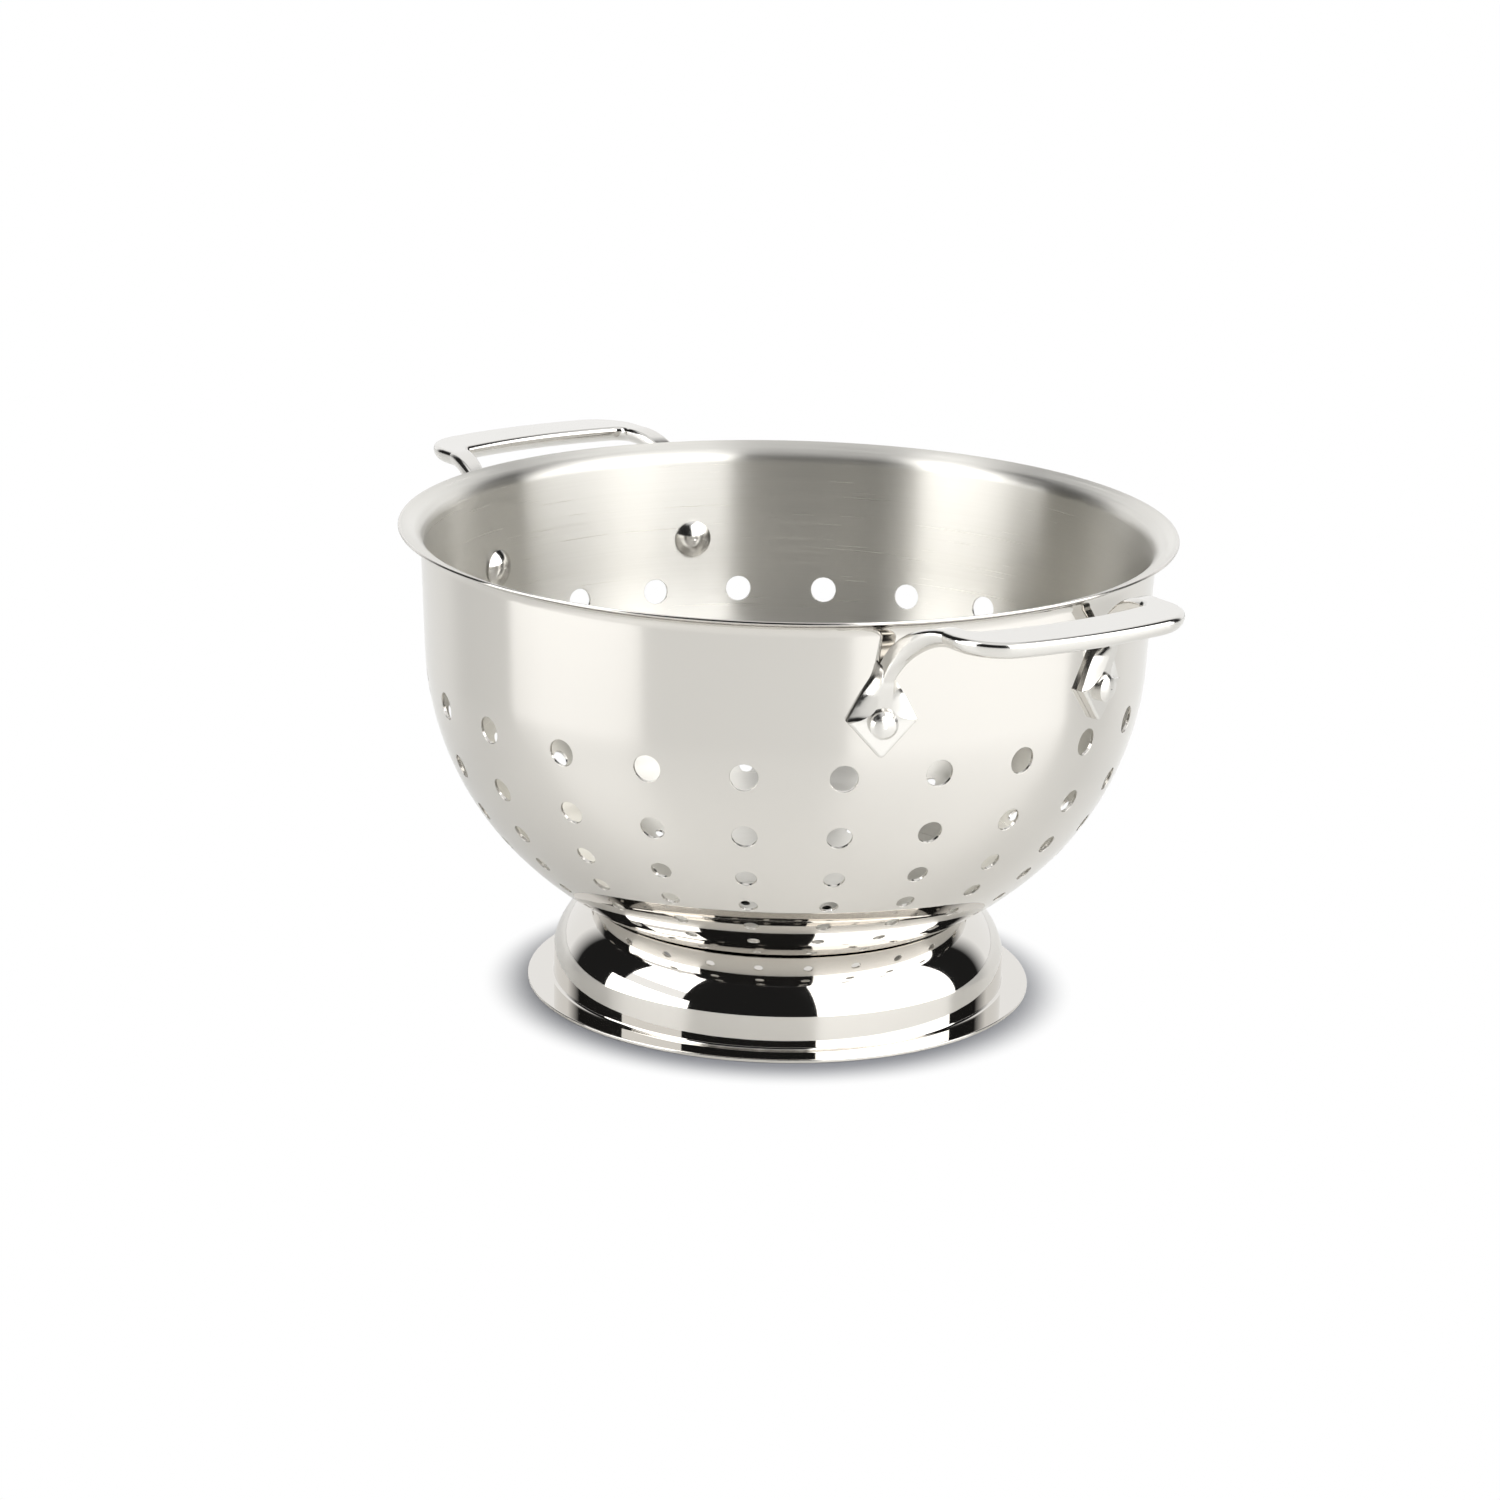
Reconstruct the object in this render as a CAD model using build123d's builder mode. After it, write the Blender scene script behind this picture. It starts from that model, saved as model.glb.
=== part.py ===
from build123d import *
from math import asin, cos, degrees, radians, sin, sqrt, tan
import os

# Footed steel colander with two riveted cast handles, in millimetres.
# The origin is the centre of the foot's underside, +Z is up and the handles lie along X.

os.makedirs("parts", exist_ok=True)

# Fits and cuts shared by all pieces
seat_gap = 0.05
overrun = 6.0

# Bowl: one pressed sheet, measured on its outer face
sheet = 0.9
rim_radius = 115.0
rim_height = 141.2
bowl_floor_height = 12.16
lip_slope = 20.0
lip_length = 4.4
flare_radius = 4.0
rim_edge_round = 0.3
wall_taper = 2.34
shoulder_radius = 88.6
shoulder_end_slope = 43.05
bottom_flat_radius = 4.0

# Drain holes, square to the sheet: full rows down the side, half rows inside the foot
columns = 24
column_pitch = 14.945
first_column_angle = -71.7
top_hole_diameter = 8.0
row_slopes = (8.16, 20.58, 30.95, 39.16, 46.19, 52.08, 58.2, 65.2)
row_diameter_shares = (1.0, 0.9, 0.75, 0.65, 0.53, 0.44, 0.38, 0.34)
inner_columns = 12
inner_row_slopes = (71.6, 78.6)
inner_diameter_share = 0.34

# Foot: a spun ring with a flat flange, an upright wall and a swelling shoulder
foot_sheet = 1.1
foot_wall_radius = 67.9
flange_reach = 7.9
flange_edge_round = 0.3
foot_fillet = 0.9
foot_wall_height = 9.2
foot_shoulder_radius = 22.4
seam_inset = 11.4
seam_round = 0.7
weld_lip_length = 6.0

# Handles: a flat-topped loop on two legs, its grip curved round the bowl
handle_angles = {"right": -1.4, "left": 181.0}
grip_lift = 1.4
grip_width = 15.6
grip_half_length = 37.5
grip_corner_radius = 15.5
grip_thickness = 5.0
arm_root_gap = 12.0
arm_width = 7.5
arm_flat = 0.5
top_round_share = 0.4
window_run = 6.7
window_corner_radius = 3.0

# Leg: the neck leans out from the pad and widens into the arm
leg_half_angle = 20.4
neck_width = 3.8
neck_depth = 5.2
neck_sink = 0.6
neck_rounding = 0.9
neck_start_rise = 11.5
bend_run_shares = (0.0, 0.07, 0.19, 0.36, 0.54, 0.75, 0.93, 1.0)
bend_rise_shares = (0.0, 0.25, 0.47, 0.68, 0.83, 0.945, 0.995, 1.0)
bend_slopes = (80.0, 62.0, 50.0, 34.0, 22.0, 10.0, 1.5, 0.0)
bend_width_shares = (0.0, 0.06, 0.24, 0.52, 0.78, 0.95, 1.0, 1.0)
bend_start_share = 0.8

# Pad: a flat half kite, above which two scooped flanks climb to a ridge that becomes the neck
pad_thickness = 2.3
pad_edge_round = 0.8
pad_half_width = 9.9
pad_corner_rise = 0.6
pad_tip_drop = 10.6
pad_tip_round = 1.6
flank_top_rise = 17.0
flank_rise_shares = (0.0, 0.1, 0.24, 0.42, 0.57, 0.72, 0.88, 1.0)
flank_width_shares = (1.0, 0.92, 0.8, 0.64, 0.485, 0.32, 0.2, 0.12)
flank_edge_shares = (0.65, 0.59, 0.57, 0.57, 0.61, 0.78, 1.13, 0.96)
ridge_width_shares = (0.91, 0.44, 0.24, 0.19, 0.187, 0.18, 0.14, 0.08)
ridge_climb_shares = (0.0, 0.1, 0.31, 0.6, 0.845, 1.0, 0.86, 0.45)

# Rivets: a domed head inside, a stepped button head on the pad
rivet_drop = 30.2
shank_diameter = 4.6
shank_clearance = 0.05
button_diameter = 8.0
button_side_height = 1.7
button_face_diameter = 6.2
button_height = 3.0
button_dome = 0.45
inner_head_diameter = 11.5
inner_head_height = 2.6
inner_head_edge = 0.5

# Corners of the bowl's outer face, from the lip's edge down to the flat of the bottom
lip_normal = (sin(radians(lip_slope)), -cos(radians(lip_slope)))
wall_normal = (cos(radians(wall_taper)), -sin(radians(wall_taper)))
shoulder_normal = (cos(radians(shoulder_end_slope)), -sin(radians(shoulder_end_slope)))
lip_edge = (rim_radius, rim_height + sheet * lip_normal[1])
lip_root = (
    lip_edge[0] + lip_length * lip_normal[1],
    lip_edge[1] - lip_length * lip_normal[0],
)
wall_top = (
    lip_root[0] - flare_radius * (wall_normal[0] - lip_normal[0]),
    lip_root[1] - flare_radius * (wall_normal[1] - lip_normal[1]),
)
shoulder_step = (
    shoulder_radius * (shoulder_normal[0] - wall_normal[0]),
    shoulder_radius * (shoulder_normal[1] - wall_normal[1]),
)
crown_share = (1 + shoulder_normal[1]) / shoulder_normal[0]
taper_share = tan(radians(wall_taper))
wall_root = wall_top[0] - wall_top[1] * taper_share
wall_foot_height = (
    bowl_floor_height
    - shoulder_step[1]
    + crown_share * (wall_root + shoulder_step[0] - bottom_flat_radius)
) / (1 - crown_share * taper_share)
wall_foot = (wall_root + wall_foot_height * taper_share, wall_foot_height)
shoulder_centre = (
    wall_foot[0] - shoulder_radius * wall_normal[0],
    wall_foot[1] - shoulder_radius * wall_normal[1],
)
shoulder_end = (wall_foot[0] + shoulder_step[0], wall_foot[1] + shoulder_step[1])
bottom_radius = (shoulder_end[0] - bottom_flat_radius) / shoulder_normal[0]
bottom_centre = (bottom_flat_radius, shoulder_end[1] - bottom_radius * shoulder_normal[1])
bowl_corners = (lip_edge, lip_root, wall_top, wall_foot, shoulder_end, (bottom_flat_radius, bowl_floor_height))
bowl_normals = (lip_normal, lip_normal, wall_normal, wall_normal, shoulder_normal, (0, -1))


def bowl_side(skin):
    """Draw the side of the bowl this far outside its outer face, and return its two ends."""
    lip_out, lip_in, high, low, turn, flat = [
        (x + skin * nx, y + skin * ny) for (x, y), (nx, ny) in zip(bowl_corners, bowl_normals)
    ]
    lip = Line(lip_out, lip_in)
    flare = TangentArc(lip_in, high, tangent=lip % 1)
    wall = Line(high, low)
    shoulder = TangentArc(low, turn, tangent=wall % 1)
    bottom = TangentArc(turn, flat, tangent=shoulder % 1)
    middle = Line(bottom @ 1, (0, flat[1]))
    return lip @ 0, middle @ 1


def on_bowl(slope):
    """Point of the bowl's outer face whose normal points this many degrees below level."""
    centre, radius = shoulder_centre, shoulder_radius
    if slope > shoulder_end_slope:
        centre, radius = bottom_centre, bottom_radius
    return centre[0] + radius * cos(radians(slope)), centre[1] - radius * sin(radians(slope))


def facing_out(angle, radius, height, slope):
    """Plane at this bearing, facing outward and this far below level, X along the rim."""
    bearing = radians(angle)
    return Plane(
        origin=(radius * cos(bearing), radius * sin(bearing), height),
        x_dir=(-sin(bearing), cos(bearing), 0),
        z_dir=(
            cos(bearing) * cos(radians(slope)),
            sin(bearing) * cos(radians(slope)),
            -sin(radians(slope)),
        ),
    )


# The rivets sit on the wall, or on the shoulder where the wall is too short for them
rivet_height = rim_height - rivet_drop
rivet_radius = wall_root + rivet_height * taper_share
rivet_slope = wall_taper
if rivet_height < wall_foot_height:
    rivet_slope = degrees(asin((shoulder_centre[1] - rivet_height) / shoulder_radius))
    rivet_radius = shoulder_centre[0] + shoulder_radius * cos(radians(rivet_slope))


def rivet_seat(angle):
    """Plane on the bowl's outer face at a rivet, facing outward."""
    return facing_out(angle, rivet_radius, rivet_height, rivet_slope)


# Bearings of the rivets, front being the -Y side
rivet_angles = {
    "right_front": handle_angles["right"] - leg_half_angle,
    "right_back": handle_angles["right"] + leg_half_angle,
    "left_front": handle_angles["left"] + leg_half_angle,
    "left_back": handle_angles["left"] - leg_half_angle,
}
shank_hole_radius = shank_diameter / 2 + shank_clearance

# Bowl
with BuildPart() as bowl:
    with BuildSketch(Plane.XZ):
        with BuildLine():
            outer_lip, outer_middle = bowl_side(0)
            inner_lip, inner_middle = bowl_side(-sheet)
            Line(outer_lip, inner_lip)
            Line(outer_middle, inner_middle)
        make_face()
        fillet(vertices().sort_by_distance(lip_edge)[:2], rim_edge_round)
    revolve(axis=Axis.Z)
    drills = []
    full_row = [first_column_angle + k * column_pitch for k in range(columns)]
    half_row = [first_column_angle + k * 360 / inner_columns for k in range(inner_columns)]
    for slope, share in zip(row_slopes, row_diameter_shares):
        drills += [(angle, slope, share) for angle in full_row]
    for slope in inner_row_slopes:
        drills += [(angle, slope, inner_diameter_share) for angle in half_row]
    for share in sorted(set(share for angle, slope, share in drills)):
        same = [facing_out(a, *on_bowl(s), s).offset(sheet) for a, s, d in drills if d == share]
        with Locations(*same):
            Hole(share * top_hole_diameter / 2, depth=3 * sheet)
    with Locations((0, 0, bowl_floor_height + 2 * sheet)):
        Hole(inner_diameter_share * top_hole_diameter / 2, depth=3 * sheet)
    with Locations(*[rivet_seat(angle).offset(sheet) for angle in rivet_angles.values()]):
        Hole(shank_hole_radius, depth=3 * sheet)
bowl.part.label = "bowl"

# Space inside the bowl's outer face, which the handles are trimmed to
with BuildPart() as bowl_space:
    with BuildSketch(Plane.XZ):
        with BuildLine():
            lip_end, middle_end = bowl_side(seat_gap)
            Polyline(
                middle_end,
                (0, rim_height + overrun),
                (rim_radius, rim_height + overrun),
                lip_end,
            )
        make_face()
    revolve(axis=Axis.Z)

# Foot
wall_base = foot_sheet + foot_fillet
shoulder_base = wall_base + foot_wall_height
weld_radius = bottom_radius + seat_gap
flange_radius = foot_wall_radius + flange_reach
seam_radius = foot_wall_radius - seam_inset
seam_height = bottom_centre[1] - sqrt(weld_radius**2 - (seam_radius - bottom_centre[0]) ** 2)
seam_rise = seam_height - shoulder_base
seam_chord = sqrt(seam_inset**2 + seam_rise**2)
shoulder_offset = sqrt(foot_shoulder_radius**2 - (seam_chord / 2) ** 2) / seam_chord
foot_shoulder_centre = (
    foot_wall_radius - seam_inset / 2 - shoulder_offset * seam_rise,
    shoulder_base + seam_rise / 2 - shoulder_offset * seam_inset,
)


def shoulder_height(radius, skin):
    """Height of the foot's shoulder at this radius, this far inside its outer face."""
    run = radius - foot_shoulder_centre[0]
    return foot_shoulder_centre[1] + sqrt((foot_shoulder_radius - skin) ** 2 - run * run)


def weld_height(radius, skin):
    """Height of the foot's weld lip at this radius, this far under its top."""
    return bottom_centre[1] - sqrt((weld_radius + skin) ** 2 - (radius - bottom_centre[0]) ** 2)


def seam_point(skin):
    """Point where the shoulder turns into the weld lip."""
    low = foot_shoulder_centre[0]
    high = foot_wall_radius - skin
    while high - low > seat_gap / 1000:
        middle = (low + high) / 2
        if shoulder_height(middle, skin) > weld_height(middle, skin):
            low = middle
        else:
            high = middle
    return high, weld_height(high, skin)


def weld_lip_end(skin):
    """Free end of the weld lip."""
    lip_turn = asin((seam_radius - bottom_centre[0]) / weld_radius) - weld_lip_length / weld_radius
    return (
        bottom_centre[0] + (weld_radius + skin) * sin(lip_turn),
        bottom_centre[1] - (weld_radius + skin) * cos(lip_turn),
    )


def foot_side(skin):
    """Draw the side of the foot this far inside its outer face, and return its two ends."""
    wall = foot_wall_radius - skin
    crease = (wall, shoulder_height(wall, skin))
    flange = Line(
        (flange_radius, foot_sheet - skin), (foot_wall_radius + foot_fillet, foot_sheet - skin)
    )
    hollow = TangentArc(flange @ 1, (wall, wall_base), tangent=flange % 1)
    Line(hollow @ 1, crease)
    swell = RadiusArc(crease, seam_point(skin), skin - foot_shoulder_radius)
    lip = RadiusArc(swell @ 1, weld_lip_end(skin), weld_radius + skin)
    return flange @ 0, lip @ 1


with BuildPart() as foot:
    with BuildSketch(Plane.XZ):
        with BuildLine():
            outer_edge, outer_lip_end = foot_side(0)
            inner_edge, inner_lip_end = foot_side(foot_sheet)
            Line(outer_edge, inner_edge)
            Line(outer_lip_end, inner_lip_end)
        make_face()
        fillet(vertices().sort_by_distance((flange_radius, foot_sheet))[0], flange_edge_round)
    revolve(axis=Axis.Z)
    rings = foot.edges().filter_by(lambda e: e.is_closed)
    fillet(rings.sort_by_distance((seam_radius, 0, seam_height))[0], seam_round)
foot.part.label = "foot"

# Handle dimensions that follow from the driving ones
grip_top = rim_height + grip_lift
arm_root_reach = rim_radius + arm_root_gap
arm_middle = grip_half_length - arm_width / 2
grip_rounding = (arm_width - arm_flat) / 2
window_reach = arm_root_reach + window_run
grip_reach = window_reach + grip_width
neck_section_depth = neck_depth + neck_sink


def bar_section(width, depth, rounding):
    """Flat-topped bar section, its lower corners well rounded and its upper ones a little."""
    Rectangle(width, depth)
    fillet(vertices().group_by(Axis.Y)[0], rounding)
    fillet(vertices().group_by(Axis.Y)[-1], top_round_share * rounding)


def make_leg(seat):
    """Pad and ridge on this seat plane, whose X runs along the rim and Y up the wall."""
    with BuildPart() as leg:
        with BuildSketch(seat.offset(-neck_sink)):
            with BuildLine():
                Polyline(
                    (-pad_half_width, pad_corner_rise),
                    (0, -pad_tip_drop),
                    (pad_half_width, pad_corner_rise),
                    close=True,
                )
            make_face()
            fillet(vertices().sort_by(Axis.Y)[0], pad_tip_round)
        extrude(amount=pad_thickness + neck_sink)
        front = leg.faces().sort_by(Axis(seat.origin, seat.z_dir))[-1]
        fillet(front.edges().sort_by(Axis(seat.origin, seat.y_dir))[:-1], pad_edge_round)
    with BuildPart() as flanks:
        for rise, width, edge, ridge, climb in zip(
            flank_rise_shares,
            flank_width_shares,
            flank_edge_shares,
            ridge_width_shares,
            ridge_climb_shares,
        ):
            level_rise = pad_corner_rise + rise * (flank_top_rise - pad_corner_rise)
            half_width = width * pad_half_width
            edge_depth = edge * pad_thickness
            ridge_half_width = ridge * pad_half_width
            ridge_depth = pad_thickness + climb * (neck_depth - pad_thickness)
            level = Plane(
                origin=seat.from_local_coords((0, level_rise, 0)),
                x_dir=seat.x_dir,
                z_dir=-seat.y_dir,
            )
            with BuildSketch(level):
                with BuildLine():
                    Polyline(
                        (-half_width, -neck_sink),
                        (half_width, -neck_sink),
                        (half_width, edge_depth),
                        (ridge_half_width, ridge_depth),
                        (-ridge_half_width, ridge_depth),
                        (-half_width, edge_depth),
                        close=True,
                    )
                make_face()
        loft()
    return leg.part + flanks.part


def make_bend(frame, seat, sign):
    """Bar that leans out of the neck, turns level and widens into the arm."""
    neck = seat.from_local_coords((0, neck_start_rise, (neck_depth - neck_sink) / 2))
    arm = frame.from_local_coords(
        (arm_root_reach, sign * arm_middle, grip_top - grip_thickness / 2)
    )
    path = arm - neck
    with BuildPart() as bend:
        for run, rise, slope, widen in zip(
            bend_run_shares, bend_rise_shares, bend_slopes, bend_width_shares
        ):
            out = frame.x_dir.rotate(Axis.Z, sign * leg_half_angle * (1 - run))
            section_plane = Plane(
                origin=neck + Vector(path.X * run, path.Y * run, path.Z * rise),
                x_dir=out.rotate(Axis.Z, 90),
                z_dir=out * cos(radians(slope)) + Vector(0, 0, sin(radians(slope))),
            )
            with BuildSketch(section_plane):
                size_share = 1 if run else bend_start_share
                bar_section(
                    size_share * (neck_width + widen * (arm_width - neck_width)),
                    size_share * (neck_section_depth + run * (grip_thickness - neck_section_depth)),
                    size_share * (neck_rounding + widen * (grip_rounding - neck_rounding)),
                )
        loft()
    return bend.part


# Handles
for side, angle in handle_angles.items():
    bearing = radians(angle)
    frame = Plane(origin=(0, 0, 0), x_dir=(cos(bearing), sin(bearing), 0), z_dir=(0, 0, 1))
    seats = {sign: rivet_seat(angle + sign * leg_half_angle) for sign in (-1, 1)}
    legs = [make_leg(seat) for seat in seats.values()]
    bends = [make_bend(frame, seat, sign) for sign, seat in seats.items()]
    with BuildPart() as handle:
        with BuildSketch(frame.offset(grip_top - grip_thickness)):
            with Locations((arm_root_reach, 0)):
                Rectangle(grip_reach, 2 * grip_half_length, align=(Align.MIN, Align.CENTER))
            Circle(grip_reach, mode=Mode.INTERSECT)
            fillet(vertices().group_by(Axis.X)[-1], grip_corner_radius)
            with BuildSketch(mode=Mode.PRIVATE) as window:
                Rectangle(2 * grip_reach, 2 * (grip_half_length - arm_width))
                Circle(window_reach, mode=Mode.INTERSECT)
                fillet(vertices().group_by(Axis.X)[-1], window_corner_radius)
            add(window.sketch, mode=Mode.SUBTRACT)
        extrude(amount=grip_thickness)
        root = frame.from_local_coords((arm_root_reach, 0, 0))
        for level, rounding in ((0, grip_rounding), (-1, top_round_share * grip_rounding)):
            flat = handle.faces().sort_by(Axis.Z)[level]
            fillet(
                flat.edges().filter_by(lambda e: (e.center() - root).dot(frame.x_dir) > seat_gap),
                rounding,
            )
        for piece in bends + legs:
            add(piece)
        add(bowl_space.part, mode=Mode.SUBTRACT)
        with Locations(*[seat.offset(neck_depth) for seat in seats.values()]):
            CounterBoreHole(
                shank_hole_radius,
                button_diameter / 2 + shank_clearance,
                counter_bore_depth=neck_depth - pad_thickness,
                depth=neck_depth + overrun,
            )
    handle.part.label = f"handle_{side}"
    export_step(handle.part, f"parts/{handle.part.label}.step")

# Rivets, whose inner head bridges the hollow of the wall
head_sagitta = (inner_head_diameter / 2) ** 2 / (2 * (rivet_radius - sheet))
head_base = -sheet - head_sagitta - seat_gap
for name, angle in rivet_angles.items():
    seat = rivet_seat(angle)
    with BuildPart() as rivet:
        with BuildSketch(Plane(origin=seat.origin, x_dir=seat.x_dir, z_dir=-seat.y_dir)):
            with BuildLine():
                button_top = pad_thickness + button_height
                dome = TangentArc(
                    (0, button_top),
                    (button_face_diameter / 2, button_top - button_dome),
                    tangent=(1, 0),
                )
                head = TangentArc(
                    (0, head_base - inner_head_height),
                    (inner_head_diameter / 2, head_base - inner_head_edge),
                    tangent=(1, 0),
                )
                Polyline(
                    dome @ 1,
                    (button_diameter / 2, pad_thickness + button_side_height),
                    (button_diameter / 2, pad_thickness),
                    (shank_diameter / 2, pad_thickness),
                    (shank_diameter / 2, head_base),
                    (inner_head_diameter / 2, head_base),
                    head @ 1,
                )
                Line(dome @ 0, head @ 0)
            make_face()
        revolve(axis=Axis(seat.origin, seat.z_dir))
    rivet.part.label = f"rivet_{name}"
    export_step(rivet.part, f"parts/{rivet.part.label}.step")

for piece in (bowl, foot):
    export_step(piece.part, f"parts/{piece.part.label}.step")
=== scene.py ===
import math

import bpy
from mathutils import Matrix, Vector


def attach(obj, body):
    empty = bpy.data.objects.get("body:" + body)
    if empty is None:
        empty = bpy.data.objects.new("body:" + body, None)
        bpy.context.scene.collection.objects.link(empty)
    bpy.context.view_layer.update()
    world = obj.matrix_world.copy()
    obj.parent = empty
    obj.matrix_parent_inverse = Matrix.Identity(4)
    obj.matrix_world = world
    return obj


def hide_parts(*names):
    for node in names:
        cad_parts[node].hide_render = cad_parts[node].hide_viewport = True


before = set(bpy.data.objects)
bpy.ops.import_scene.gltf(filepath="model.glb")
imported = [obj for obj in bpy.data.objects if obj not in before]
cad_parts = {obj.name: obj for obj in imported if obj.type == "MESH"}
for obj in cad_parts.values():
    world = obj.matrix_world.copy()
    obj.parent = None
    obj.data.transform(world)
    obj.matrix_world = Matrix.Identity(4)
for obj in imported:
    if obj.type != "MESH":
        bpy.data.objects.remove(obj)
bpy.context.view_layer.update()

# A footed steel colander on a white table between tall softboxes.
# Sizes are in millimetres until a mesh is made, angles in degrees.
mm = 0.001
noiseRange = (0.3, 0.7)    # where most values of a noise texture lie


# Small helpers

def cosd(angle):
    return math.cos(math.radians(angle))


def sind(angle):
    return math.sin(math.radians(angle))


def linear(hexColour):
    # sRGB hex to the linear colour that the sockets take
    channels = [int(hexColour[i:i + 2], 16) / 255 for i in (1, 3, 5)]
    return [c / 12.92 if c <= 0.04045 else ((c + 0.055) / 1.055) ** 2.4 for c in channels] + [1.0]


def addNode(tree, kind, settings=None, links=None):
    # settings name a node's own property or one of its sockets, links name sockets
    node = tree.nodes.new(kind)
    for name, value in (settings or {}).items():
        if isinstance(name, str) and hasattr(node, name):
            setattr(node, name, value)
        else:
            node.inputs[name].default_value = value
    for name, source in (links or {}).items():
        tree.links.new(source, node.inputs[name])
    return node


def newMaterial(name):
    material = bpy.data.materials.new(name)
    material.use_nodes = True
    material.node_tree.nodes.clear()
    return material, material.node_tree


def makeMesh(name, points, faces, normals, materials, faceSlots):
    # points in millimetres, one exact surface normal for each point
    mesh = bpy.data.meshes.new(name)
    mesh.from_pydata([[c * mm for c in p] for p in points], [], faces)
    for material in materials:
        mesh.materials.append(material)
    mesh.polygons.foreach_set("material_index", faceSlots)
    mesh.shade_smooth()
    mesh.normals_split_custom_set_from_vertices(normals)
    piece = bpy.data.objects.new(name, mesh)
    bpy.context.scene.collection.objects.link(piece)
    return piece


# Camera: a long lens a little above the rim, between the front and the right handle

camera = dict(
    bearing=-36.1,      # where it stands, from the right handle
    distance=1214.4,    # from the bowl's axis
    height=430.9,
    aimAside=-0.466,    # how far it looks past the axis
    aimDown=16.5,
    roll=1.3,
    sensor=36.0,
    lens=101.47,
    seesTo=50.0,        # metres
)


def makeCamera():
    data = bpy.data.cameras.new("camera")
    data.sensor_fit = "HORIZONTAL"
    data.sensor_width = camera["sensor"]
    data.lens = camera["lens"]
    data.clip_end = camera["seesTo"]
    shot = bpy.data.objects.new("camera", data)
    heading = camera["bearing"] + 90 - camera["aimAside"]
    turn = (
        Matrix.Rotation(math.radians(heading), 4, "Z")
        @ Matrix.Rotation(math.radians(90 - camera["aimDown"]), 4, "X")
        @ Matrix.Rotation(math.radians(camera["roll"]), 4, "Z")
    )
    place = Vector((
        camera["distance"] * cosd(camera["bearing"]) * mm,
        camera["distance"] * sind(camera["bearing"]) * mm,
        camera["height"] * mm,
    ))
    shot.matrix_world = Matrix.Translation(place) @ turn
    bpy.context.scene.collection.objects.link(shot)
    bpy.context.scene.camera = shot


makeCamera()
print("camera is set")


# Steel finishes

polish = dict(
    colour="#DAD7D2",     # stainless steel, a warm grey mirror
    castColour="#E0DEDA",  # the cast handles are a little paler than the sheet
    sheetRoughness=0.035,
    edgeRoughness=0.16,
    castRoughness=0.13,
    rivetRoughness=0.14,
    hazeRange=(0.7, 1.4),  # how the roughness varies over the waves
    waveSize=34.0,        # slow waves left by the buffing wheel
    sheetWave=0.010,
    castWave=0.006,
    lineSize=0.7,         # buffing lines, drawn coarser than real so that they show
    lineStretch=0.12,     # their size up and down over their size along the part
    lineDepth=0.0016,
)


def polishedSteel(name, colour, roughness, waveDepth):
    # stainless steel, buffed: a mirror of the studio, a little wavy, and softer where it is rougher
    material, tree = newMaterial(name)
    place = addNode(tree, "ShaderNodeTexCoord")
    waves = addNode(
        tree, "ShaderNodeTexNoise",
        {"Scale": 1 / (polish["waveSize"] * mm), "Detail": 1.0, "Roughness": 0.4},
        {"Vector": place.outputs["Object"]},
    )
    waveBump = addNode(
        tree, "ShaderNodeBump", {"Strength": 1.0, "Distance": waveDepth * mm},
        {"Height": waves.outputs["Fac"]},
    )
    stretch = addNode(
        tree, "ShaderNodeMapping",
        {"Scale": (polish["lineStretch"], polish["lineStretch"], 1.0)},
        {"Vector": place.outputs["Object"]},
    )
    lines = addNode(
        tree, "ShaderNodeTexNoise",
        {"Scale": 1 / (polish["lineSize"] * mm), "Detail": 2.0},
        {"Vector": stretch.outputs["Vector"]},
    )
    lineBump = addNode(
        tree, "ShaderNodeBump", {"Strength": 1.0, "Distance": polish["lineDepth"] * mm},
        {"Height": lines.outputs["Fac"], "Normal": waveBump.outputs["Normal"]},
    )
    clear, dull = polish["hazeRange"]
    haze = addNode(
        tree, "ShaderNodeMapRange",
        {"From Min": noiseRange[0], "From Max": noiseRange[1],
         "To Min": roughness * clear, "To Max": roughness * dull},
        {"Value": waves.outputs["Fac"]},
    )
    steel = addNode(
        tree, "ShaderNodeBsdfPrincipled",
        {"Base Color": linear(colour), "Metallic": 1.0},
        {"Roughness": haze.outputs["Result"], "Normal": lineBump.outputs["Normal"]},
    )
    addNode(tree, "ShaderNodeOutputMaterial", links={"Surface": steel.outputs["BSDF"]})
    return material


brush = dict(
    colour="#E6E4DF",
    darkLine="#DDDBD5",
    roughness=0.34,
    stretch=1.0,          # the most that a highlight can be drawn out
    stretchTurn=0.25,     # a quarter turn draws it out across the lines
    lineSize=0.55,        # width of a brush line, drawn about three times too coarse so that it shows
    lineRun=60.0,         # how far a line runs round the wall
    lineDepth=0.0015,
    gritRange=(0.8, 1.2),  # how the roughness varies from line to line
)


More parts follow.
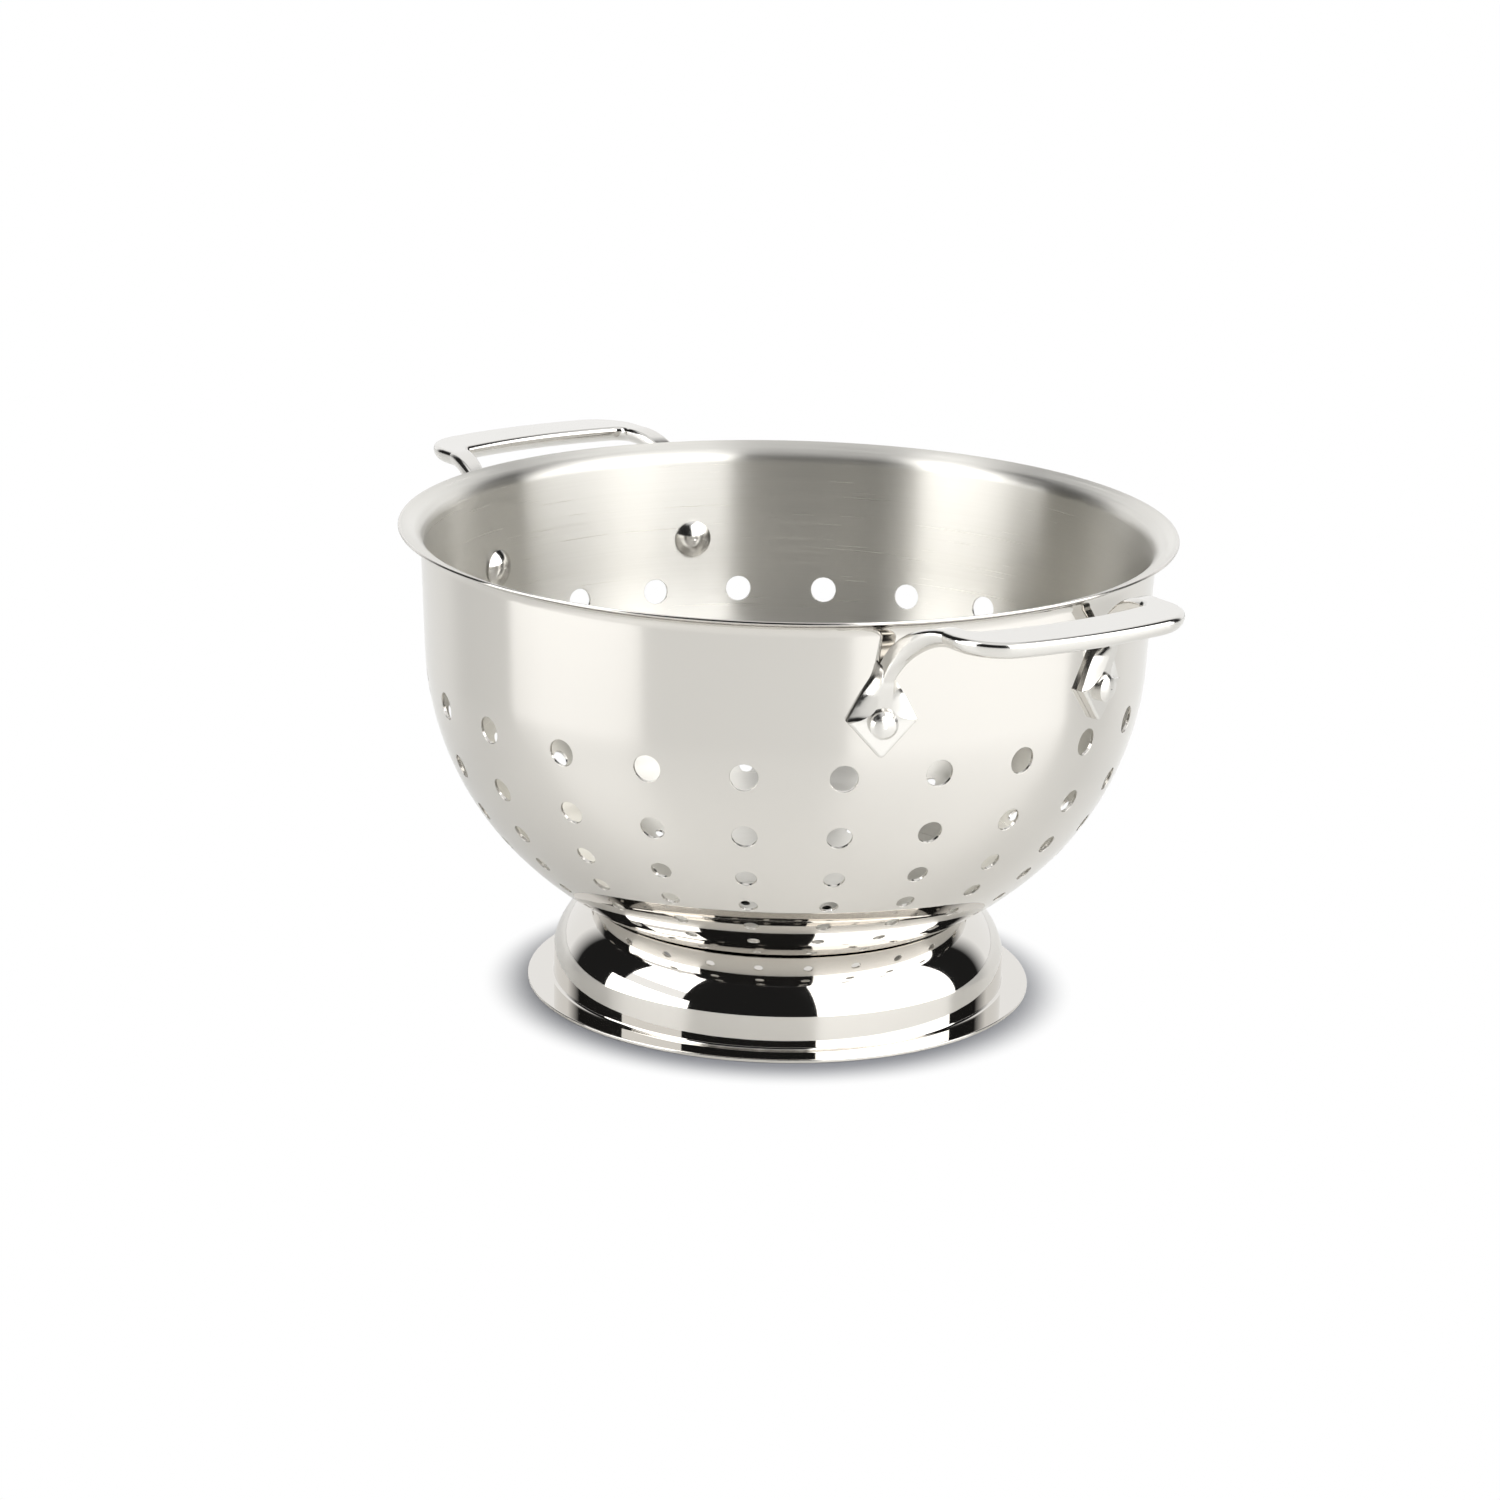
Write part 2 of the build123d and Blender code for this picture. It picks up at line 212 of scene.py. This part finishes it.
def brushedSteel(name):
    # stainless steel brushed round and round on a lathe: soft upright bands of light, fine level lines
    material, tree = newMaterial(name)
    place = addNode(tree, "ShaderNodeTexCoord")
    stretch = addNode(
        tree, "ShaderNodeMapping",
        {"Scale": (brush["lineSize"] / brush["lineRun"], brush["lineSize"] / brush["lineRun"], 1.0)},
        {"Vector": place.outputs["Object"]},
    )
    lines = addNode(
        tree, "ShaderNodeTexNoise",
        {"Scale": 1 / (brush["lineSize"] * mm), "Detail": 3.0, "Roughness": 0.6},
        {"Vector": stretch.outputs["Vector"]},
    )
    shade = addNode(
        tree, "ShaderNodeMix",
        {"data_type": "RGBA", 6: linear(brush["darkLine"]), 7: linear(brush["colour"])},
        {0: lines.outputs["Fac"]},
    )
    fine, coarse = brush["gritRange"]
    grit = addNode(
        tree, "ShaderNodeMapRange",
        {"From Min": noiseRange[0], "From Max": noiseRange[1],
         "To Min": brush["roughness"] * fine, "To Max": brush["roughness"] * coarse},
        {"Value": lines.outputs["Fac"]},
    )
    grooves = addNode(
        tree, "ShaderNodeBump", {"Strength": 1.0, "Distance": brush["lineDepth"] * mm},
        {"Height": lines.outputs["Fac"]},
    )
    around = addNode(tree, "ShaderNodeTangent", {"direction_type": "RADIAL", "axis": "Z"})
    steel = addNode(
        tree, "ShaderNodeBsdfPrincipled",
        {"Metallic": 1.0, "Anisotropic": brush["stretch"],
         "Anisotropic Rotation": brush["stretchTurn"]},
        {"Base Color": shade.outputs[2], "Roughness": grit.outputs["Result"],
         "Normal": grooves.outputs["Normal"], "Tangent": around.outputs["Tangent"]},
    )
    addNode(tree, "ShaderNodeOutputMaterial", links={"Surface": steel.outputs["BSDF"]})
    return material


mirrorSteel = polishedSteel(
    "stainless_steel_mirror_polished", polish["colour"], polish["sheetRoughness"], polish["sheetWave"],
)
insideSteel = brushedSteel("stainless_steel_lathe_brushed")
edgeSteel = polishedSteel(
    "stainless_steel_cut_edge_tumbled", polish["colour"], polish["edgeRoughness"], 0.0,
)
castSteel = polishedSteel(
    "stainless_steel_cast_and_buffed", polish["castColour"], polish["castRoughness"], polish["castWave"],
)
rivetSteel = polishedSteel(
    "stainless_steel_rivet_burnished", polish["castColour"], polish["rivetRoughness"], 0.0,
)
print("steel finishes are made")


# Bowl: one pressed sheet, its mesh laid out round every hole

bowl = dict(
    sheet=0.9,
    rimRadius=115.0,
    rimHeight=141.2,
    lipSlope=20.0,
    lipLength=4.4,
    flareRadius=4.0,
    rimRound=0.3,
    wallTaper=2.34,
    wallFoot=103.4,
    shoulderRadius=88.6,
    shoulderEnd=43.05,
    flatRadius=4.0,
    columns=24,
    columnPitch=14.945,
    firstColumn=-71.7,
    topHole=8.0,
    rowSlopes=(8.16, 20.58, 30.95, 39.16, 46.19, 52.08, 58.2, 65.2, 71.6, 78.6),
    holeShares=(1.0, 0.9, 0.75, 0.65, 0.53, 0.44, 0.38, 0.34, 0.34, 0.34),
    fullRows=8,           # the rows below these have a hole in every other column
    halfRowPitch=30.0,
    lastSlope=82.0,       # where the last row's cells end
    edgeRound=0.14,       # worn edge of each hole
    stepsRound=8,         # mesh steps across one column
    stepsDown=6,          # mesh steps down one row
    flareSteps=8,
    holeRings=(0.4, 0.7, 0.88, 1.0),  # mesh rings from a cell's border to its hole
    bottomSlopes=(86.0, 90.0),        # mesh rings between the last row and the middle hole
)


def makeBowl():
    b = bowl
    lipNormal = (sind(b["lipSlope"]), -cosd(b["lipSlope"]))
    wallNormal = (cosd(b["wallTaper"]), -sind(b["wallTaper"]))
    lipEdge = (b["rimRadius"], b["rimHeight"] + b["sheet"] * lipNormal[1])
    lipRoot = (lipEdge[0] + b["lipLength"] * lipNormal[1], lipEdge[1] - b["lipLength"] * lipNormal[0])
    flareCentre = [lipRoot[i] + b["flareRadius"] * lipNormal[i] for i in (0, 1)]
    wallTop = [flareCentre[i] - b["flareRadius"] * wallNormal[i] for i in (0, 1)]
    wallFoot = (
        wallTop[0] - (wallTop[1] - b["wallFoot"]) * sind(b["wallTaper"]) / cosd(b["wallTaper"]),
        b["wallFoot"],
    )
    shoulderCentre = [wallFoot[i] - b["shoulderRadius"] * wallNormal[i] for i in (0, 1)]
    endNormal = (cosd(b["shoulderEnd"]), -sind(b["shoulderEnd"]))
    shoulderEnd = [shoulderCentre[i] + b["shoulderRadius"] * endNormal[i] for i in (0, 1)]
    bottomRadius = (shoulderEnd[0] - b["flatRadius"]) / endNormal[0]
    bottomCentre = (b["flatRadius"], shoulderEnd[1] - bottomRadius * endNormal[1])

    points, normals, faces, slots = [], [], [], []

    def addPoint(radius, height, angle, normal):
        points.append((radius * cosd(angle), radius * sind(angle), height))
        normals.append(normal)
        return len(points) - 1

    def addFace(corners, slot, inner=False):
        faces.append(corners[::-1] if inner else corners)
        slots.append(slot)

    # Angles of the mesh's upright lines, from one column's edge to the next
    gap = 360 - (b["columns"] - 1) * b["columnPitch"]
    holeAngles = [b["firstColumn"] + k * b["columnPitch"] for k in range(b["columns"])]
    edges = [holeAngles[0] - gap / 2]
    edges += [(holeAngles[k - 1] + holeAngles[k]) / 2 for k in range(1, b["columns"])]
    edges += [edges[0] + 360]
    lines = [
        edges[k] + (edges[k + 1] - edges[k]) * j / b["stepsRound"]
        for k in range(b["columns"]) for j in range(b["stepsRound"])
    ]
    around = len(lines)

    def addRing(radius, height, tilt):
        # tilt is the normal's angle above level
        return [
            addPoint(radius, height, a, (cosd(tilt) * cosd(a), cosd(tilt) * sind(a), sind(tilt)))
            for a in lines
        ]

    def joinRings(upper, lower, slot):
        for i in range(around):
            j = (i + 1) % around
            addFace((upper[i], lower[i], lower[j], upper[j]), slot)

    # Wall, flare and lip on both skins, joined round the rim
    stations = [(wallFoot[0], wallFoot[1], -b["wallTaper"])]
    for share in (0.33, 0.67, 1.0):
        stations.append((
            wallFoot[0] + share * (wallTop[0] - wallFoot[0]),
            wallFoot[1] + share * (wallTop[1] - wallFoot[1]),
            -b["wallTaper"],
        ))
    for step in range(1, b["flareSteps"] + 1):
        tilt = -b["wallTaper"] + step / b["flareSteps"] * (b["lipSlope"] - 90 + b["wallTaper"])
        stations.append((
            flareCentre[0] - b["flareRadius"] * cosd(tilt),
            flareCentre[1] - b["flareRadius"] * sind(tilt),
            tilt,
        ))
    lipTilt = b["lipSlope"] - 90
    outward = (cosd(b["lipSlope"]), sind(b["lipSlope"]))
    lipEnd = [lipEdge[i] - b["rimRound"] * outward[i] for i in (0, 1)]
    stations.append((lipEnd[0], lipEnd[1], lipTilt))
    outer = [addRing(r, z, t) for r, z, t in stations]
    inner = [
        addRing(r - b["sheet"] * cosd(t), z - b["sheet"] * sind(t), t + 180) for r, z, t in stations
    ]
    rim = []
    for depth, start in ((b["rimRound"], 0), (b["sheet"] - b["rimRound"], 90)):
        centre = [lipEnd[i] - depth * lipNormal[i] for i in (0, 1)]
        for share in (0.33, 0.67, 1.0) if start == 0 else (0.0, 0.33, 0.67):
            tilt = lipTilt + start + 90 * share
            rim.append(addRing(
                centre[0] + b["rimRound"] * cosd(tilt), centre[1] + b["rimRound"] * sind(tilt), tilt,
            ))
    mirror, brushed, edge = 0, 1, 2
    for low, high in zip(outer, outer[1:]):
        joinRings(high, low, mirror)
    for low, high in zip([outer[-1]] + rim, rim + [inner[-1]]):
        joinRings(high, low, edge)
    for low, high in zip(inner, inner[1:]):
        joinRings(low, high, brushed)

    # Below the wall every point is given by its angle, its slope and its depth in the sheet
    def onBowl(angle, slope, depth):
        centre, radius = shoulderCentre, b["shoulderRadius"]
        if slope > b["shoulderEnd"]:
            centre, radius = bottomCentre, bottomRadius
        return centre[0] + (radius - depth) * cosd(slope), centre[1] - (radius - depth) * sind(slope)

    def addOnBowl(angle, slope, depth, side):
        radius, height = onBowl(angle, slope, depth)
        normal = (
            side * cosd(slope) * cosd(angle), side * cosd(slope) * sind(angle), -side * sind(slope),
        )
        return addPoint(radius, height, angle, normal)

    ringCount = len(b["rowSlopes"])
    rowEdges = [b["wallTaper"]]
    rowEdges += [(b["rowSlopes"][i] + b["rowSlopes"][i + 1]) / 2 for i in range(ringCount - 1)]
    rowEdges += [b["lastSlope"]]
    skins = ((0.0, 1, mirror, outer[0]), (b["sheet"], -1, brushed, inner[0]))
    known = {}

    def gridPoint(skin, i, row, step):
        # a point of the plain grid, shared by the cells that meet there
        i %= around
        if step == b["stepsDown"]:
            row, step = row + 1, 0
        key = (skin, i, row, step)
        if key not in known:
            if row == 0 and step == 0:
                known[key] = skins[skin][3][i]
            else:
                low = rowEdges[row]
                high = rowEdges[min(row + 1, ringCount)]
                slope = low + (high - low) * step / b["stepsDown"]
                known[key] = addOnBowl(lines[i], slope, skins[skin][0], skins[skin][1])
        return known[key]

    def plainCell(row, column):
        for skin in (0, 1):
            for i in range(column * b["stepsRound"], (column + 1) * b["stepsRound"]):
                for step in range(b["stepsDown"]):
                    addFace((
                        gridPoint(skin, i, row, step), gridPoint(skin, i, row, step + 1),
                        gridPoint(skin, i + 1, row, step + 1), gridPoint(skin, i + 1, row, step),
                    ), skins[skin][2], skin == 1)

    def holeCell(row, column, holeAngle, holeRadius):
        slope = b["rowSlopes"][row]
        first = column * b["stepsRound"]
        across, down = b["stepsRound"], b["stepsDown"]
        border = [(first, step) for step in range(down)]
        border += [(first + j, down) for j in range(across)]
        border += [(first + across, down - step) for step in range(down)]
        border += [(first + across - j, 0) for j in range(across)]
        arc = bottomRadius if slope > b["shoulderEnd"] else b["shoulderRadius"]
        ringRadius = onBowl(holeAngle, slope, 0)[0]
        toAngle = 180 / math.pi / ringRadius
        toSlope = 180 / math.pi / arc
        low, high = rowEdges[row], rowEdges[row + 1]
        spokes = []
        for i, step in border:
            angle = lines[i % around]
            while angle < holeAngle - 180:
                angle += 360
            while angle > holeAngle + 180:
                angle -= 360
            x = (angle - holeAngle) / toAngle
            y = (low + (high - low) * step / down - slope) / toSlope
            spokes.append((x, y, x / math.hypot(x, y), y / math.hypot(x, y)))
        rings = {}
        for skin in (0, 1):
            depth, side = skins[skin][0], skins[skin][1]
            rings[skin] = [[gridPoint(skin, i, row, step) for i, step in border]]
            for share in b["holeRings"]:
                ring = []
                for x, y, dx, dy in spokes:
                    u = x + share * ((holeRadius + b["edgeRound"]) * dx - x)
                    v = y + share * ((holeRadius + b["edgeRound"]) * dy - y)
                    ring.append(addOnBowl(holeAngle + u * toAngle, slope + v * toSlope, depth, side))
                rings[skin].append(ring)
            for wide, narrow in zip(rings[skin], rings[skin][1:]):
                for i in range(len(border)):
                    j = (i + 1) % len(border)
                    addFace((wide[i], wide[j], narrow[j], narrow[i]), skins[skin][2], skin == 1)
        # The hole's own wall, whose normals face its axis
        walls = []
        for depth in (b["edgeRound"], b["sheet"] - b["edgeRound"]):
            ring = []
            for x, y, dx, dy in spokes:
                angle = holeAngle + holeRadius * dx * toAngle
                turn = slope + holeRadius * dy * toSlope
                radius, height = onBowl(angle, turn, depth)
                ring.append(addPoint(radius, height, angle, (
                    dx * sind(angle) + dy * sind(slope) * cosd(angle),
                    -dx * cosd(angle) + dy * sind(slope) * sind(angle),
                    dy * cosd(slope),
                )))
            walls.append(ring)
        for near, far in zip([rings[0][-1]] + walls, walls + [rings[1][-1]]):
            for i in range(len(border)):
                j = (i + 1) % len(border)
                addFace((near[i], near[j], far[j], far[i]), edge)

    for row in range(ringCount):
        for column in range(b["columns"]):
            angle = holeAngles[column]
            if row >= b["fullRows"]:
                angle = b["firstColumn"] + column / 2 * b["halfRowPitch"]
            if row < b["fullRows"] or column % 2 == 0:
                holeCell(row, column, angle, b["holeShares"][row] * b["topHole"] / 2)
            else:
                plainCell(row, column)

    # The middle of the bottom, with its one hole
    middleHole = b["holeShares"][-1] * b["topHole"] / 2
    loops = []
    for skin in (0, 1):
        depth, side = skins[skin][0], skins[skin][1]
        ring = [gridPoint(skin, i, ringCount, 0) for i in range(around)]
        bottomLoops = [ring]
        for slope in b["bottomSlopes"]:
            radius, height = onBowl(0, slope, depth)
            bottomLoops.append(addRing(radius, height, -slope if side > 0 else 180 - slope))
        height = bottomCentre[1] - bottomRadius + depth
        bottomLoops.append(addRing(middleHole + b["edgeRound"], height, -90 * side))
        for wide, narrow in zip(bottomLoops, bottomLoops[1:]):
            for i in range(around):
                j = (i + 1) % around
                addFace((wide[i], narrow[i], narrow[j], wide[j]), skins[skin][2], skin == 1)
        loops.append(bottomLoops[-1])
    walls = [
        addRing(middleHole, bottomCentre[1] - bottomRadius + depth, 180)
        for depth in (b["edgeRound"], b["sheet"] - b["edgeRound"])
    ]
    for near, far in zip([loops[0]] + walls, walls + [loops[1]]):
        joinRings(near, far, edge)

    piece = makeMesh(
        "bowl_shell", points, faces, normals, [mirrorSteel, insideSteel, edgeSteel], slots,
    )
    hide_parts("bowl")
    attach(piece, "root")
    return bottomCentre, bottomRadius


bottomCentre, bottomRadius = makeBowl()
print("bowl is made")


# Foot: a spun ring under the bowl

foot = dict(
    sheet=1.1,
    flangeRadius=75.8,
    flangeRound=0.3,
    flangeCut=0.09,       # how far its round corner lies inside the sharp one, both ways
    wallRadius=67.9,
    hollowRadius=0.9,
    wallHeight=9.2,
    creaseRound=0.12,     # half the width of the worn crease between wall and shoulder
    shoulderRadius=22.4,
    seamInset=11.4,       # from the wall in to the seam
    seatGap=0.05,
    seamRound=0.7,
    seamSink=0.175,       # how far the worn seam lies under the sharp one
    lipLength=6.0,
    steps=240,            # mesh steps round the ring
    hollowStep=10,        # degrees between mesh rings in the hollow
    shoulderStep=1.5,     # and on the shoulder
)


def spin(name, outline, steps, material):
    # outline is a closed list of radius, height and the normal's tilt above level
    points, normals, faces = [], [], []
    for radius, height, tilt in outline:
        for i in range(steps):
            angle = 360 * i / steps
            points.append((radius * cosd(angle), radius * sind(angle), height))
            normals.append((cosd(tilt) * cosd(angle), cosd(tilt) * sind(angle), sind(tilt)))
    for row in range(len(outline)):
        after = (row + 1) % len(outline)
        for i in range(steps):
            j = (i + 1) % steps
            faces.append((row * steps + i, row * steps + j, after * steps + j, after * steps + i))
    return makeMesh(name, points, faces, normals, [material], [0] * len(faces))


def makeFoot():
    f = foot
    base = f["sheet"] + f["hollowRadius"]
    shoulderBase = base + f["wallHeight"]
    weld = bottomRadius + f["seatGap"]
    seamRadius = f["wallRadius"] - f["seamInset"]
    seamHeight = bottomCentre[1] - math.sqrt(weld ** 2 - (seamRadius - bottomCentre[0]) ** 2)
    seamRise = seamHeight - shoulderBase
    chord = math.hypot(f["seamInset"], seamRise)
    offset = math.sqrt(f["shoulderRadius"] ** 2 - (chord / 2) ** 2) / chord
    centre = (
        f["wallRadius"] - f["seamInset"] / 2 - offset * seamRise,
        shoulderBase + seamRise / 2 - offset * f["seamInset"],
    )

    def side(skin):
        # from the flange's edge up to the seam with the bowl, this far inside the outer face
        places = [(f["flangeRadius"] - (f["flangeRound"] if skin == 0 else 0), f["sheet"] - skin, 90)]
        for tilt in range(90, -1, -f["hollowStep"]):
            reach = f["hollowRadius"] + skin
            places.append((
                f["wallRadius"] + f["hollowRadius"] - reach * cosd(tilt), base - reach * sind(tilt), tilt,
            ))
        reach = f["shoulderRadius"] - skin
        turn = math.degrees(math.acos((f["wallRadius"] - skin - centre[0]) / reach))
        crease = centre[1] + reach * sind(turn)
        places.append((f["wallRadius"] - skin, crease - f["creaseRound"], 0))
        turn += math.degrees(f["creaseRound"] / reach)
        while True:
            radius = centre[0] + reach * cosd(turn)
            height = centre[1] + reach * sind(turn)
            run = radius - bottomCentre[0]
            under = bottomCentre[1] - math.sqrt((weld + skin) ** 2 - run ** 2)
            if height >= under:
                break
            places.append((radius, height, turn))
            turn += f["shoulderStep"]
        return places, (radius, under)

    outer, outerSeam = side(0)
    inner, innerSeam = side(f["sheet"])
    innerWeld = weld + f["sheet"]
    seamTurn = math.degrees(math.asin((outerSeam[0] - bottomCentre[0]) / weld))
    lipTurn = seamTurn - math.degrees(f["lipLength"] / weld)
    innerTurn = math.degrees(math.asin((innerSeam[0] - bottomCentre[0]) / innerWeld))

    # The seam's worn edge turns from the shoulder's tilt to the weld lip's
    top = outer[-2]
    lipTilt = 90 + seamTurn
    seam = []
    for share in (0.25, 0.5, 0.75):
        tilt = top[2] + share * (lipTilt - top[2])
        seam.append((
            top[0] + share * (outerSeam[0] - f["seamRound"] - top[0]),
            top[1] + math.sin(share * math.pi / 2) * (outerSeam[1] - f["seamSink"] - top[1]),
            tilt,
        ))
    lip = []
    for share in (0.0, 0.5, 1.0):
        turn = seamTurn - math.degrees(f["seamRound"] / weld)
        turn += share * (lipTurn - turn)
        lip.append((
            bottomCentre[0] + weld * sind(turn), bottomCentre[1] - weld * cosd(turn), 90 + turn,
        ))
    under = []
    for share in (0.0, 0.5, 1.0):
        turn = lipTurn + share * (innerTurn - lipTurn)
        under.append((
            bottomCentre[0] + innerWeld * sind(turn), bottomCentre[1] - innerWeld * cosd(turn),
            turn - 90,
        ))
    edge = [
        (f["flangeRadius"], f["flangeRound"], 0),
        (f["flangeRadius"], f["sheet"] - f["flangeRound"], 0),
        (f["flangeRadius"] - f["flangeCut"], f["sheet"] - f["flangeCut"], 45),
    ]
    bottomEdge = [(f["flangeRadius"] - f["flangeRound"], 0.0, -90)]
    outline = edge + outer[:-1] + seam + lip + under
    outline += [(r, z, t + 180) for r, z, t in reversed(inner[1:])] + bottomEdge
    piece = spin("foot_ring", outline, f["steps"], mirrorSteel)
    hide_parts("foot")
    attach(piece, "root")


makeFoot()
print("foot is made")


# Handles and rivets keep their solids from the frame

for name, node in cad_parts.items():
    if name.startswith("handle"):
        node.data.materials[0] = castSteel
    if name.startswith("rivet"):
        node.data.materials[0] = rivetSteel
print("handles and rivets are finished")


# Studio: a white glossy table, tall softboxes at both sides, a dark room in front, pale behind and above

studio = dict(
    floorSize=8.0,         # metres
    floorColour="#F2F2F0",
    floorGloss=0.3,
    boxDistance=1.6,       # metres from the bowl
    # name, bearings from the camera's, elevations and radiance; the left box is dimmer across its middle
    boxes=(
        ("softbox_left_low", (-93.0, -44.0), (0.0, 18.0), 3.6),
        ("softbox_left_seam", (-84.0, -48.0), (18.0, 28.0), 1.2),
        ("softbox_left_high", (-84.0, -48.0), (28.0, 60.0), 3.6),
        ("softbox_right", (20.0, 98.0), (0.0, 60.0), 2.9),
    ),
    roomDark=0.015,        # radiance in front and at the sides
    roomPale=1.05,         # radiance behind
    paleFrom=(0.5, 0.68),  # cosines from straight behind, between which dark turns to pale
    ceiling=0.97,          # radiance straight above
    ceilingFrom=(0.80, 0.90),
    paintedShadowColour="#909298",     # cool grey of the painted contact shadow, which the lamps then shade further
    shadowShift=5.0,            # how far its middle lies from the axis, to the camera's side
    shadowReach=(71.0, 90.0),   # where the painted shadow begins to fade, and where the floor is plain white
)


def makeSoftbox(name, sides, elevations, strength):
    distance = studio["boxDistance"]
    middle = camera["bearing"] + (sides[0] + sides[1]) / 2
    halfAngle = (sides[1] - sides[0]) / 2
    width = 2 * distance * sind(halfAngle) / cosd(halfAngle)
    low, high = [distance * sind(e) / cosd(e) for e in elevations]
    light = bpy.data.lights.new(name, "AREA")
    light.shape = "RECTANGLE"
    light.size = width
    light.size_y = high - low
    light.energy = strength * math.pi * width * (high - low)    # a flat lamp of this radiance
    lamp = bpy.data.objects.new(name, light)
    lamp.matrix_world = (
        Matrix.Translation((distance * cosd(middle), distance * sind(middle), (low + high) / 2))
        @ Matrix.Rotation(math.radians(middle + 90), 4, "Z")
        @ Matrix.Rotation(math.radians(90), 4, "X")
    )
    bpy.context.scene.collection.objects.link(lamp)
    lamp.visible_camera = False


def makeFloor():
    s = studio
    half = s["floorSize"] / 2
    mesh = bpy.data.meshes.new("floor")
    corners = [(-half, -half, 0), (half, -half, 0), (half, half, 0), (-half, half, 0)]
    mesh.from_pydata(corners, [], [(0, 1, 2, 3)])
    floor = bpy.data.objects.new("floor", mesh)
    bpy.context.scene.collection.objects.link(floor)
    # glossy white acrylic; to the camera plain white, with a painted grey contact shadow round the foot
    # which the lamps then shade
    material, tree = newMaterial("acrylic_sheet_white")
    rays = addNode(tree, "ShaderNodeLightPath")
    acrylic = addNode(
        tree, "ShaderNodeBsdfPrincipled",
        {"Base Color": linear(s["floorColour"]), "Roughness": s["floorGloss"], "IOR": 1.5},
    )
    # painted shadow: a cool grey matt surface round the foot, lit and shaded by the lamps
    paintedShadow = addNode(tree, "ShaderNodeBsdfDiffuse", {"Color": linear(s["paintedShadowColour"])})
    white = addNode(tree, "ShaderNodeEmission", {"Color": linear("#FFFFFF"), "Strength": 1.0})
    place = addNode(tree, "ShaderNodeTexCoord")
    shift = s["shadowShift"] * mm
    middle = (shift * cosd(camera["bearing"]), shift * sind(camera["bearing"]), 0.0)
    fromMiddle = addNode(
        tree, "ShaderNodeVectorMath", {"operation": "SUBTRACT", 1: middle},
        {0: place.outputs["Object"]},
    )
    far = addNode(
        tree, "ShaderNodeVectorMath", {"operation": "LENGTH"}, {0: fromMiddle.outputs["Vector"]},
    )
    # how much of the painted shadow shows, fading from its middle out to plain white
    paintedShadowShare = addNode(
        tree, "ShaderNodeMapRange",
        {"interpolation_type": "SMOOTHSTEP", "From Min": s["shadowReach"][0] * mm,
         "From Max": s["shadowReach"][1] * mm, "To Min": 1.0, "To Max": 0.0},
        {"Value": far.outputs["Value"]},
    )
    shown = addNode(
        tree, "ShaderNodeMixShader",
        links={0: paintedShadowShare.outputs["Result"], 1: white.outputs["Emission"], 2: paintedShadow.outputs["BSDF"]},
    )
    both = addNode(
        tree, "ShaderNodeMixShader",
        links={0: rays.outputs["Is Camera Ray"], 1: acrylic.outputs["BSDF"], 2: shown.outputs["Shader"]},
    )
    addNode(tree, "ShaderNodeOutputMaterial", links={"Surface": both.outputs["Shader"]})
    mesh.materials.append(material)


def makeWorld():
    s = studio
    world = bpy.data.worlds.new("studio")
    bpy.context.scene.world = world
    world.use_nodes = True
    tree = world.node_tree
    tree.nodes.clear()
    rays = addNode(tree, "ShaderNodeLightPath")
    place = addNode(tree, "ShaderNodeTexCoord")
    behind = camera["bearing"] + 180
    toBack = addNode(
        tree, "ShaderNodeVectorMath", {"operation": "DOT_PRODUCT", 1: (cosd(behind), sind(behind), 0.0)},
        {0: place.outputs["Generated"]},
    )
    pale = addNode(
        tree, "ShaderNodeMapRange",
        {"From Min": s["paleFrom"][0], "From Max": s["paleFrom"][1],
         "To Min": s["roomDark"], "To Max": s["roomPale"]},
        {"Value": toBack.outputs["Value"]},
    )
    toTop = addNode(
        tree, "ShaderNodeVectorMath", {"operation": "DOT_PRODUCT", 1: (0.0, 0.0, 1.0)},
        {0: place.outputs["Generated"]},
    )
    ceiling = addNode(
        tree, "ShaderNodeMapRange",
        {"From Min": s["ceilingFrom"][0], "From Max": s["ceilingFrom"][1],
         "To Min": 0.0, "To Max": s["ceiling"]},
        {"Value": toTop.outputs["Value"]},
    )
    light = addNode(
        tree, "ShaderNodeMath", {"operation": "MAXIMUM"},
        {0: pale.outputs["Result"], 1: ceiling.outputs["Result"]},
    )
    room = addNode(
        tree, "ShaderNodeBackground", {"Color": linear("#FFFFFF")}, {"Strength": light.outputs["Value"]},
    )
    backdrop = addNode(tree, "ShaderNodeBackground", {"Color": linear("#FFFFFF"), "Strength": 1.0})
    both = addNode(
        tree, "ShaderNodeMixShader",
        links={0: rays.outputs["Is Camera Ray"], 1: room.outputs["Background"],
               2: backdrop.outputs["Background"]},
    )
    addNode(tree, "ShaderNodeOutputWorld", links={"Surface": both.outputs["Shader"]})


for box in studio["boxes"]:
    makeSoftbox(*box)
makeFloor()
makeWorld()
bpy.context.scene.view_settings.view_transform = "Standard"
print("studio is lit")
